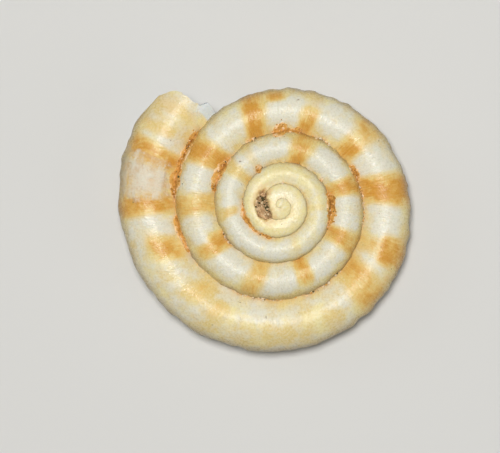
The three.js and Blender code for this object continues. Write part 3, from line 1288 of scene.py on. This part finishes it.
@dataclass
class Deposit:
    """Dried soil on the shell: a lumpy film with grains on it."""

    ground: Ground
    grains: GrainBox
    seat: Seat
    noise: Noise = field(default_factory=lambda: Noise(47))
    film_depth: float = 0.16
    film_lumps: float = 0.12
    film_sink: float = 0.05
    film_thickness: float = 0.05
    smallest: float = 0.05
    largest: float = 0.2

    def film(self, name: str, steps: tuple[int, int], plan: Callable[[Array, Array], tuple[Array, Array]],
             depth: Callable[[Array, Array], Array]) -> bpy.types.Object:
        """Lays a film of soil over the shell.

        Args:
            name: the object's name.
            steps: how many steps it has along and across.
            plan: gives x and y for shares of its length and width, each from 0 to 1.
            depth: how deep the soil is there, from 0 at its edges to 1.

        Returns:
            The film, as a closed mesh.
        """
        shades: dict[str, Array] = {}

        def roll(row: Array, column: Array) -> Array:
            """Places the film's vertices, and notes their tones, with painted shade in the low spots between
            lumps.
            """
            along, across = row / steps[0], column / steps[1]
            x, y = plan(along, across)
            lumps = self.noise.layered(x * 4.5, y * 4.5, 4)
            deep = depth(along, across)
            height = self.ground.heights(x, y) - self.film_sink
            height += deep * (self.film_depth + self.film_sink + self.film_lumps * lumps)
            # The tone follows the lumps, so the film is darker in its low spots: painted shade, on top of
            # random tone; its thin edges are paler.
            shades["tone"] = 0.45 + 0.4 * lumps + 0.8 * self.noise.layered(x * 2.0 + 40.0, y * 2.0, 3)
            shades["tone"] = shades["tone"] + 0.4 * (1.0 - deep)
            return self.seat.settle(np.column_stack((x, y, height)))

        film = rolled_sheet(name, *steps, roll)
        tone = shades["tone"]
        write_corners(film, "Shade", np.column_stack((tone, 0.0 * tone, 0.0 * tone)))
        thicken = film.modifiers.new("thickness", "SOLIDIFY")
        thicken.thickness = self.film_thickness
        thicken.offset = -1.0
        bpy.ops.object.modifier_apply(modifier=thicken.name)
        return film

    def scatter(self, name: str, x: Array, y: Array, lift: Array, random: np.random.RandomState,
                black: Array) -> bpy.types.Object:
        """Drops grains on the shell.

        Args:
            name: the object's name.
            x: where they lie, in the shell's own frame.
            y: where they lie across it.
            lift: how far above the shell each one's middle lies.
            random: draws their sizes, turns and shades.
            black: how likely each one is to be blackish.

        Returns:
            All the grains as one mesh.
        """
        points, faces, shades, count = [], [], [], 0
        for place, odds in zip(np.column_stack((x, y, self.ground.heights(x, y) + lift)), black):
            corners, sides = self.grains.shapes[random.randint(self.grains.kinds)]
            size = self.smallest + (self.largest - self.smallest) * random.uniform() ** 2.2
            stretch = random.uniform(0.7, 1.15, 3)
            turn = Matrix.Rotation(random.uniform(0.0, 2.0 * math.pi), 3, Vector(random.normal(size=3)))
            points.append((corners * stretch * size) @ np.array(turn).T + place)
            faces.append(sides + count)
            tone, dark = random.uniform(0.0, 1.0), float(random.uniform() < odds)
            shades.append(np.tile((tone, dark, 0.0), (len(corners), 1)))
            count += len(corners)
        mesh = bpy.data.meshes.new(name)
        mesh.from_pydata(self.seat.settle(np.vstack(points)).tolist(), [], np.vstack(faces).tolist())
        grains = bpy.data.objects.new(name, mesh)
        bpy.context.scene.collection.objects.link(grains)
        write_corners(grains, "Shade", np.vstack(shades))
        return grains


@dataclass
class SutureSoil:
    """Soil caked in the grooves between whorls."""

    skin: Skin
    deposit: Deposit
    material: bpy.types.Material
    lean_out: float = 0.2
    reach: float = 0.85
    row_length: float = 0.055
    columns: int = 14

    def _plan(self, crust: Crust, along: Array, across: Array) -> tuple[Array, Array]:
        """Where a share of a crust's length and width, each from 0 to 1, lies in the shell's own frame."""
        skin = self.skin
        turn = crust.first + (crust.last - crust.first) * along
        radius, _ = skin.meridian(turn, np.full_like(turn, skin.section.suture_angle))
        ragged = np.clip(1.15 + 1.5 * self.deposit.noise.layered(turn * 34.0, across * 0.9, 3), 0.3, 2.2)
        taper = np.sqrt(np.clip(1.0 - (2.0 * along - 1.0) ** 2, 0.0, 1.0)) * 0.75 + 0.25
        aside = self.lean_out + self.reach * (2.0 * across - 1.0)
        radius = radius + crust.half_width * ragged * taper * aside
        azimuth = skin.coil.azimuth(turn)
        return radius * np.cos(azimuth), radius * np.sin(azimuth)

    def _depth(self, along: Array, across: Array) -> Array:
        """How deep the film is, from 0 at its edges to 1 in its middle."""
        ends = smooth_step(0.0, 0.12, along) * (1.0 - smooth_step(0.88, 1.0, along))
        return ends * smooth_step(0.0, 0.35, across) * (1.0 - smooth_step(0.65, 1.0, across))

    def _grains(self, crust: Crust, name: str, seed: int) -> bpy.types.Object:
        """Scatters a crust's grains, most of them along its middle."""
        random = np.random.RandomState(seed)
        along = random.uniform(0.0, 1.0, crust.grains)
        across = np.clip(0.5 + random.normal(0.0, 0.2, crust.grains), 0.0, 1.0)
        x, y = self._plan(crust, along, across)
        lift = self.deposit.film_depth * self._depth(along, across) * random.uniform(0.6, 1.1, len(x))
        black = smooth_step(0.1, 0.3, self.deposit.noise.layered(x * 2.5, y * 2.5 + 20.0, 2))
        return self.deposit.scatter(name, x, y, lift, random, 0.22 * black)

    def build(self, crust: Crust, seed: int) -> bpy.types.Object:
        """Builds one crust.

        Args:
            crust: the patch.
            seed: draws its grains.

        Returns:
            The crust, standing for its CAD node.
        """
        coil = self.skin.coil
        length = 2.0 * math.pi * coil.edge(crust.first - 1.0) * (crust.last - crust.first)
        steps = (max(6, round(length / self.row_length)), self.columns)
        film = self.deposit.film("film", steps, partial(self._plan, crust), self._depth)
        grains = self._grains(crust, "grains", seed)
        piece = weld((film, grains), crust.node + "_grains")
        piece.data.materials.append(self.material)
        hang_in_frame(piece, crust.node)
        return piece

    def build_thin(self, crusts: Sequence[Crust], seed: int) -> bpy.types.Object:
        """Scatters the thin patches as one piece, and returns it."""
        parts = [self._grains(crust, "grains", seed + i) for i, crust in enumerate(crusts)]
        piece = weld(parts, "suture_dust")
        piece.data.materials.append(self.material)
        hang_in_frame(piece, "")
        return piece


@dataclass
class ApexSoil:
    """Soil packed in the pit beside the apex."""

    skin: Skin
    deposit: Deposit
    material: bpy.types.Material
    steps: tuple[int, int] = (44, 30)
    grains: int = 150

    def _plan(self, along: Array, across: Array) -> tuple[Array, Array]:
        """Where a share of the pit's length and width lies in the shell's own frame."""
        pit, coil = self.skin.pit, self.skin.coil
        turn = pit.turn + (2.0 * along - 1.0) * pit.half_length
        reach = np.sqrt(np.clip(1.0 - (2.0 * along - 1.0) ** 2, 0.0, 1.0)) * 0.9 + 0.1
        radius = coil.edge(turn) + pit.half_width * reach * (2.0 * across - 1.0)
        azimuth = coil.azimuth(turn)
        return radius * np.cos(azimuth), radius * np.sin(azimuth)

    def _depth(self, along: Array, across: Array) -> Array:
        """How deep the film is, from 0 at its edges to 1 in its middle."""
        reach = np.hypot(2.0 * along - 1.0, 2.0 * across - 1.0)
        return 1.0 - smooth_step(0.6, 1.0, reach)

    def build(self, node: str, seed: int) -> bpy.types.Object:
        """Fills the pit.

        Args:
            node: the CAD node that the soil stands for.
            seed: draws its grains.

        Returns:
            The soil.
        """
        random = np.random.RandomState(seed)
        film = self.deposit.film("film", self.steps, self._plan, self._depth)
        angle = random.uniform(0.0, 2.0 * math.pi, self.grains)
        reach = np.sqrt(random.uniform(0.0, 1.0, self.grains))
        along, across = 0.5 + 0.42 * reach * np.cos(angle), 0.5 + 0.42 * reach * np.sin(angle)
        x, y = self._plan(along, across)
        lift = self.deposit.film_depth * (0.6 + random.uniform(0.0, 1.2, self.grains))
        towards_nucleus = 0.5 * (along + 1.0 - across)
        scattered = towards_nucleus + random.normal(0.0, 0.08, self.grains)
        black = 0.06 + 0.8 * smooth_step(0.4, 0.8, scattered)
        grains = self.deposit.scatter("grains", x, y, lift, random, black)
        piece = weld((film, grains), node + "_grains")
        piece.data.materials.append(self.material)
        hang_in_frame(piece, node)
        return piece


@dataclass
class Studio:
    """Floor, soft lights and camera, in metres."""

    seat: Seat
    aim: tuple[float, float, float] = (-1.96, -1.34, -3.0)
    distance: float = 0.2
    lens: float = 220.0
    floor_size: float = 1.2
    key_size: float = 0.075
    key_distance: float = 0.3
    key_power: float = 0.77
    side_power: float = 0.05
    room_strength: float = 0.11

    @property
    def view(self) -> Vector:
        """The direction from the shell to the camera, which looks down the shell's axis."""
        return Vector(self.seat.turning @ (0.0, 0.0, 1.0))

    def add_floor(self) -> None:
        """Adds a plain pale floor."""
        bpy.ops.object.select_all(action="DESELECT")
        bpy.ops.mesh.primitive_plane_add(size=self.floor_size)
        floor = bpy.context.object
        floor.name = "floor"
        sheet = NodeSheet("pale_floor")
        sheet.shade(Base_Color=Palette.FLOOR, Roughness=0.85)
        floor.data.materials.append(sheet.material)

    def _add_light(self, name: str, direction: Vector, distance: float, size: float, power: float) -> None:
        """Adds a round soft light that faces the shell."""
        data = bpy.data.lights.new(name, "AREA")
        data.shape = "DISK"
        data.size = size
        data.energy = power
        light = bpy.data.objects.new(name, data)
        bpy.context.scene.collection.objects.link(light)
        light.location = direction.normalized() * distance
        light.rotation_euler = direction.to_track_quat("Z", "Y").to_euler()

    def add_lights(self) -> None:
        """Adds a light round the line of sight, two weaker ones from the sides, and a dim room."""
        towards_key = self.view + Vector((-0.06, 0.1, 0.0))
        self._add_light("key", towards_key, self.key_distance, self.key_size, self.key_power)
        self._add_light("left", Vector((-1.0, 0.4, 0.8)), 0.3, 0.16, self.side_power)
        self._add_light("right", Vector((1.0, -0.5, 0.7)), 0.3, 0.16, self.side_power)
        world = bpy.data.worlds.new("room")
        world.use_nodes = True
        background = world.node_tree.nodes["Background"]
        background.inputs["Color"].default_value = Palette.FLOOR.colour
        background.inputs["Strength"].default_value = self.room_strength
        bpy.context.scene.world = world
        bpy.context.scene.view_settings.view_transform = "Standard"

    def add_camera(self) -> None:
        """Adds a long lens that looks down the axis onto the apex."""
        data = bpy.data.cameras.new("camera")
        data.lens = self.lens
        data.clip_start = 0.01
        camera = bpy.data.objects.new("camera", data)
        bpy.context.scene.collection.objects.link(camera)
        aim = Vector(self.seat.settle(np.array(self.aim))) * MM
        camera.location = aim + self.view * self.distance
        camera.rotation_euler = Matrix(self.seat.turning.tolist()).to_euler()
        bpy.context.scene.camera = camera


def build_shell(seat: Seat) -> tuple[Skin, BVHTree, bpy.types.Object]:
    """Builds and dresses the shell.

    Args:
        seat: how it lies, which this works out.

    Returns:
        Its skin, its surface in millimetres, and its object.
    """
    coil = Coil()
    section = Section(coil)
    skin = Skin(coil, section, Lip(section), Relief(), Pit(coil))
    shell = Shell(skin, seat, Weathering(skin)).build()
    shell.data.materials.clear()
    shell.data.materials.append(ShellFinish().make())
    surface = BVHTree.FromObject(shell, bpy.context.evaluated_depsgraph_get())
    hang_in_frame(shell, "shell")
    return skin, surface, shell


def build_soil(skin: Skin, seat: Seat, surface: BVHTree) -> list[bpy.types.Object]:
    """Builds every patch of soil on the shell.

    Args:
        skin: the shell's skin.
        seat: how the shell lies.
        surface: the shell's surface, in millimetres.

    Returns:
        The patches.
    """
    grains = GrainBox()
    grains.model()
    deposit = Deposit(Ground(seat, surface), grains, seat)
    orange = SoilFinish("caked_soil", Palette.SOIL_DARK, Palette.SOIL, Palette.SOIL_PALE).make()
    brown = SoilFinish("pit_soil", Palette.PIT_SOIL_DARK, Palette.PIT_SOIL, Palette.PIT_SOIL_PALE).make()
    suture = SutureSoil(skin, deposit, orange)
    patches = [suture.build(crust, 100 + i) for i, crust in enumerate(CRUSTS)]
    thin = SoilFinish("thin_soil", Palette.SOIL, Palette.SOIL_PALE, Palette.CHALK).make()
    patches.append(SutureSoil(skin, deposit, thin).build_thin(THIN_SOIL, 300))
    patches.append(ApexSoil(skin, deposit, brown).build("apex_soil", 400))
    return patches


def main() -> None:
    """Builds the shell, its soil and the studio."""
    logging.basicConfig(level=logging.INFO, format="%(message)s")
    seat = Seat()
    skin, surface, shell = build_shell(seat)
    patches = build_soil(skin, seat, surface)
    for piece in (shell, *patches):
        logger.info("%s: %d faces", piece.name, len(piece.data.polygons))
    studio = Studio(seat)
    studio.add_floor()
    studio.add_lights()
    studio.add_camera()


if __name__ == "__main__":
    main()
